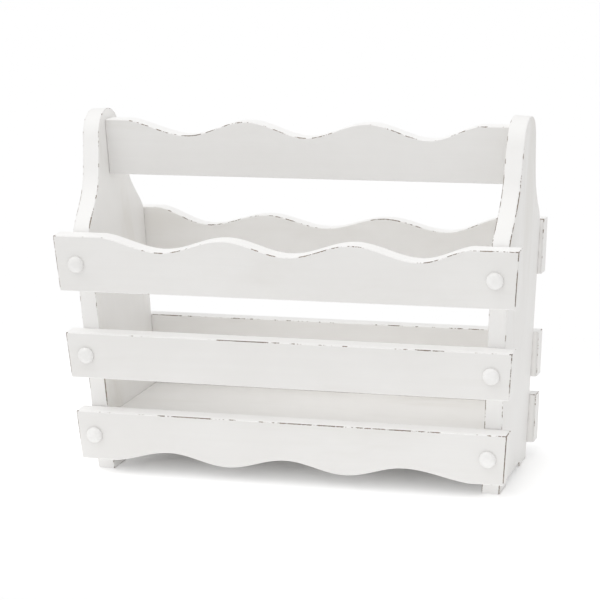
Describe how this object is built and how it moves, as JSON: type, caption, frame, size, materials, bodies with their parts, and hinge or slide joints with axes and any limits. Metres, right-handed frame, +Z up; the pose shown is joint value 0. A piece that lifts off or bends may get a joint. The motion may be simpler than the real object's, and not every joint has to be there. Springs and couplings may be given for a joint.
{
  "type": "magazine rack",
  "caption": "Painted wooden magazine rack with bottle-shaped end panels, a wavy handle rail, open slatted front and rear, and a floor board.",
  "frame": {"origin": "on the floor, under the middle of the rack", "axes": "+X along the slats to the right seen from the front, -Y out of the front slats, +Z up"},
  "size_m": [0.4542, 0.1956, 0.3499],
  "materials": {
    "paint": "satin off-white paint, lightly distressed along the edges",
    "button_paint": "satin off-white paint",
    "screw_steel": "zinc plated",
    "beech": "bare, fluted"
  },
  "bodies": {
    "root": {"front_top_slat": "paint", "plug_front_top_left": "button_paint", "screw_front_top_left": "screw_steel", "plug_front_top_right": "button_paint", "screw_front_top_right": "screw_steel", "front_middle_slat": "paint", "plug_front_middle_left": "button_paint", "screw_front_middle_left": "screw_steel", "plug_front_middle_right": "button_paint", "screw_front_middle_right": "screw_steel", "front_bottom_slat": "paint", "plug_front_bottom_left": "button_paint", "screw_front_bottom_left": "screw_steel", "plug_front_bottom_right": "button_paint", "screw_front_bottom_right": "screw_steel", "rear_top_slat": "paint", "plug_rear_top_left": "button_paint", "screw_rear_top_left": "screw_steel", "plug_rear_top_right": "button_paint", "screw_rear_top_right": "screw_steel", "rear_middle_slat": "paint", "plug_rear_middle_left": "button_paint", "screw_rear_middle_left": "screw_steel", "plug_rear_middle_right": "button_paint", "screw_rear_middle_right": "screw_steel", "rear_bottom_slat": "paint", "plug_rear_bottom_left": "button_paint", "screw_rear_bottom_left": "screw_steel", "plug_rear_bottom_right": "button_paint", "screw_rear_bottom_right": "screw_steel", "left_end_panel": "paint", "dowel_rail_left_lower": "beech", "dowel_rail_left_upper": "beech", "dowel_floor_left_front": "beech", "dowel_floor_left_centre": "beech", "dowel_floor_left_rear": "beech", "right_end_panel": "paint", "dowel_rail_right_lower": "beech", "dowel_rail_right_upper": "beech", "dowel_floor_right_front": "beech", "dowel_floor_right_centre": "beech", "dowel_floor_right_rear": "beech", "handle_rail": "paint", "floor_board": "paint"}
  },
  "joints": []
}
